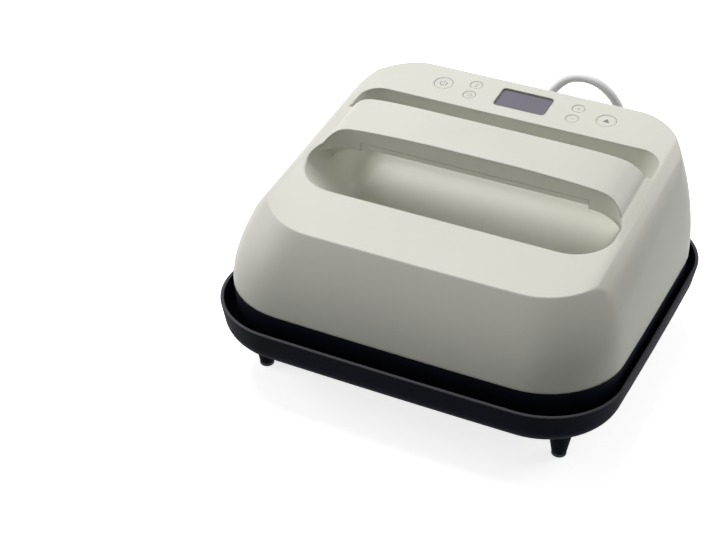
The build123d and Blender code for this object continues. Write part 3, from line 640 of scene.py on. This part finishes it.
def deckColumn(u, v, radius, low, high, name):
    bm = bmesh.new()
    bmesh.ops.create_cone(bm, cap_ends=True, segments=40, radius1=radius, radius2=radius, depth=high - low)
    middle = (low + high) / 2
    for vert in bm.verts:
        vert.co = onDeck(u + vert.co.x, v + vert.co.y, middle + vert.co.z)
    return closed(bm, name)


def deckBlock(u, v, size, low, high, name):
    width, depth, corner = size

    def place(x, y, step):
        px, py = roundedPoint(x, y, width / 2, depth / 2, corner)
        return onDeck(u + px, v + py, (low, high)[step])

    return closed(roundedColumn(1, place, 6, 1), name)


def makeOpening(s):
    opening = wellForm(s, 0, "opening")
    for tool in (handleBar(s), handleFillet(s, -1), handleFillet(s, 1)):
        carve(opening, tool)
    return opening


def makeInside(s):  # the hollow under the deck, around the well
    inside = bodyForm(s, s["wall"], "inside")
    box, side, up, rim = s["far"]["box"], s["far"]["side"], s["far"]["up"], s["rim"]
    lid = [(-box, -s["wall"]), (box, -s["wall"]), (box, up), (-box, up)]
    carve(inside, prism(lid, -box, box, fromFront, "lid"))
    carve(inside, wellForm(s, s["wall"], "wellOutside"))
    thick = [(rim["halfX"], rim["low"]), (rim["halfX"], rim["high"]), (side, rim["high"]), (side, rim["low"])]
    for way in (-1, 1):
        carve(inside, prism([(way * u, w) for u, w in thick], -box, box, fromFront, "rim"))
    return inside


def cleaned(piece, sliver):  # drops the slivers that the cuts leave, and keeps the one large island
    bm = bmesh.new()
    bm.from_mesh(piece.data)
    bmesh.ops.remove_doubles(bm, verts=bm.verts[:], dist=sliver)
    bmesh.ops.dissolve_degenerate(bm, dist=sliver, edges=bm.edges[:])
    islands, left = [], set(bm.faces)
    while left:
        island, fresh = set(), {left.pop()}
        while fresh:
            face = fresh.pop()
            island.add(face)
            near = {other for edge in face.edges for other in edge.link_faces} & left
            left -= near
            fresh |= near
        islands.append(island)
    largest = max(islands, key=len)
    stray = [face for face in bm.faces if face not in largest]
    bmesh.ops.delete(bm, geom=stray, context="FACES")
    print("shell's open edges:", sum(len(edge.link_faces) != 2 for edge in bm.edges))
    piece.data = settled(bm, piece.name)
    return piece


def makeShell(s):
    shell = bodyForm(s, 0, "upperShell")
    for tool in (longProfile(s), archProfile(s, -1), archProfile(s, 1), makeOpening(s), makeInside(s)):
        carve(shell, tool)
    row = s["panel"]["row"]
    for name in ("window", "lensSeat"):
        cut = s[name]
        carve(shell, deckBlock(0, row, cut["size"], cut["low"], cut["high"], name))
    for u, v, radius in s["keys"]:
        for name in ("keyHole", "keySeat"):
            cut = s[name]
            carve(shell, deckColumn(u, row + v, radius + cut["grow"], cut["low"], cut["high"], name))
    return cleaned(shell, s["sliver"])


upperShell = makeShell(shellSettings)
upperShell.data.materials.clear()
upperShell.data.materials.append(finishes["pale_plastic"])
upperShell.data.shade_smooth()
upperShell.data.set_sharp_from_angle(angle=math.radians(shellSettings["sharpFrom"]))
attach(upperShell, "press")
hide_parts("upper_housing")
print("upper shell cut:", len(upperShell.data.polygons), "faces")

# key marks, inked, and the display's dark band, which is painted shade: thin shapes, in millimetres on the deck
markSettings = {
    "ink": (0.2, 0.2, 0.21),
    "faint": (0.4, 0.4, 0.38),
    "low": 1.44,
    "high": 1.53,
    "join": 0.01,
    # the dark band round the display is painted shade, for the shadow of the window's edge
    "display": {"width": 45, "depth": 25.5, "corner": 3.5, "band": 1.1, "low": 0.32, "high": 0.4},
}


def ring(x, y, radius, width, start, end, steps=28):  # part of a ring, as quads
    inner = arc(x, y, radius - width / 2, start, end, steps)
    outer = arc(x, y, radius + width / 2, start, end, steps)
    return [[inner[k], outer[k], outer[k + 1], inner[k + 1]] for k in range(steps)]


def bar(x, y, width, depth):
    left, right, low, high = x - width / 2, x + width / 2, y - depth / 2, y + depth / 2
    return [[(left, low), (right, low), (right, high), (left, high)]]


marks = {  # by key: its place, the ink and the shapes
    "power": (-71.5, 0, "ink", ring(0, -0.2, 2.9, 0.75, 125, 415) + bar(0, 2.2, 0.75, 3.2)),
    "start": (71.5, 0, "ink", [[(-2.9, -2.3), (2.9, -2.3), (0, 2.7)]]),
    "temperature": (
        -45, 7.5, "faint",
        ring(0, -1.6, 0.75, 0.6, 0, 360, 16) + bar(0, 0.9, 0.7, 3.4)
        + bar(1.3, 1.5, 1, 0.35) + bar(1.3, 0.4, 1, 0.35),
    ),
    "timer": (-45, -7.5, "faint", ring(0, 0, 2.1, 0.5, 0, 360) + bar(0, 0.7, 0.4, 1.5) + bar(0.6, 0, 1.2, 0.4)),
    "plus": (45, 7.5, "faint", bar(0, 0, 3.6, 0.6) + bar(0, 1.1, 0.6, 1.55) + bar(0, -1.1, 0.6, 1.55)),
    "minus": (45, -7.5, "faint", bar(0, 0, 3.6, 0.6)),
}


def makeMark(name, s, u, v, shapes):
    bm = bmesh.new()
    for outline in shapes:
        bm.faces.new([bm.verts.new(onDeck(u + a, v + b, s["low"])) for a, b in outline])
    bmesh.ops.remove_doubles(bm, verts=bm.verts[:], dist=s["join"])
    pushed(bm, bm.faces[:], onDeck(0, 0, s["high"]) - onDeck(0, 0, s["low"]))
    return closed(bm, name)


inks = {name: printedInk("ink" + name.capitalize(), markSettings[name]) for name in ("ink", "faint")}
for name, (u, v, tone, shapes) in marks.items():
    mark = makeMark(name + "Mark", markSettings, u, shellSettings["panel"]["row"] + v, shapes)
    mark.data.materials.append(inks[tone])
    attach(mark, "key_" + name + "_cap")
print("key marks made:", len(marks))


def makeShadeBand(s, v):  # the dark band round the display, under the window's edge: painted shade standing in for the shadow of the window's edge
    bm = bmesh.new()
    rows = []
    for inset, level in ((0, "low"), (s["band"], "low"), (s["band"], "high"), (0, "high")):
        corner = s["corner"] - inset
        flatX, flatY = s["width"] / 2 - inset - corner, s["depth"] / 2 - inset - corner
        outline = []
        for k, (x, y) in enumerate(((1, 1), (-1, 1), (-1, -1), (1, -1))):
            outline += arc(x * flatX, y * flatY, corner, 90 * k, 90 * k + 90, 8)
        rows.append([bm.verts.new(onDeck(a, v + b, s[level])) for a, b in outline])
    for k, row in enumerate(rows):
        after = rows[(k + 1) % len(rows)]
        for j in range(len(row)):
            n = (j + 1) % len(row)
            bm.faces.new((row[j], row[n], after[n], after[j]))
    return closed(bm, "displayShadeBand")


displayShadeBand = makeShadeBand(markSettings["display"], shellSettings["panel"]["row"])
displayShadeBand.data.materials.append(finishes["display_frame"])
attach(displayShadeBand, "press")

roomSettings = {
    "middle": (0, 0, 0.08),  # what the lamps aim at
    "floorHalf": 8,
    "floorDrop": -0.0002,
    "floor": (0.93, 0.93, 0.93),
    "floorBounce": (0.16, 0.16, 0.16),
    "floorGlow": 0.78,
    "key": {"place": (-0.65, 0.5, 1.9), "size": 1.5, "watts": 30},
    "fill": {"place": (-1.9, -0.4, 0.8), "size": 1.2, "watts": 10},
    "side": {"place": (1.3, 1.35, 1.0), "size": 1.2, "watts": 10.5},
    "world": 0.14,
}


directRays = ("Is Camera Ray", "Is Glossy Ray", "Is Transmission Ray")


def makeFloor(s):
    mesh = bpy.data.meshes.new("floor")
    bm = bmesh.new()
    bmesh.ops.create_grid(bm, x_segments=1, y_segments=1, size=s["floorHalf"])
    bm.to_mesh(mesh)
    bm.free()
    floor = placed("floor", mesh)
    floor.location.z = s["floorDrop"]
    paint = Paint("floorPaper", Roughness=0.95)  # white to the eye, duller as a reflector under the walls
    seen, glossy, through = [paint.node("ShaderNodeLightPath", out=kind) for kind in directRays]
    seen = seen.join("MAXIMUM", seen.join("MAXIMUM", seen, glossy), through)
    paint.set("Base Color", paint.mix(seen, s["floorBounce"], s["floor"]))
    paint.set("Emission Color", paint.mix(seen, (0, 0, 0), (1, 1, 1)))
    paint.set("Emission Strength", s["floorGlow"])
    mesh.materials.append(paint.material)


def makeLamp(name, s, middle):
    data = bpy.data.lights.new(name, "AREA")
    data.shape = "DISK"
    data.size = s["size"]
    data.energy = s["watts"]
    lamp = placed(name, data)
    lamp.location = s["place"]
    lamp.rotation_euler = (Vector(middle) - lamp.location).to_track_quat("-Z", "Y").to_euler()


def makeWorld(strength):
    world = bpy.data.worlds.new("studio")
    bpy.context.scene.world = world
    world.use_nodes = True
    tree = world.node_tree
    tree.nodes.clear()
    rays = tree.nodes.new("ShaderNodeLightPath")
    seen = rays.outputs[directRays[0]]
    for kind in directRays[1:]:
        either = tree.nodes.new("ShaderNodeMath")
        either.operation = "MAXIMUM"
        tree.links.new(seen, either.inputs[0])
        tree.links.new(rays.outputs[kind], either.inputs[1])
        seen = either.outputs[0]
    mixer = tree.nodes.new("ShaderNodeMixShader")
    tree.links.new(seen, mixer.inputs[0])
    for slot, light in ((1, strength), (2, 1)):  # soft on the object, plain white to the eye
        sky = tree.nodes.new("ShaderNodeBackground")
        sky.inputs["Color"].default_value = (1, 1, 1, 1)
        sky.inputs["Strength"].default_value = light
        tree.links.new(sky.outputs[0], mixer.inputs[slot])
    out = tree.nodes.new("ShaderNodeOutputWorld")
    tree.links.new(mixer.outputs[0], out.inputs[0])


makeFloor(roomSettings)
for name in ("key", "fill", "side"):
    makeLamp(name, roomSettings[name], roomSettings["middle"])
makeWorld(roomSettings["world"])
bpy.context.scene.view_settings.view_transform = "Standard"
print("room lit")
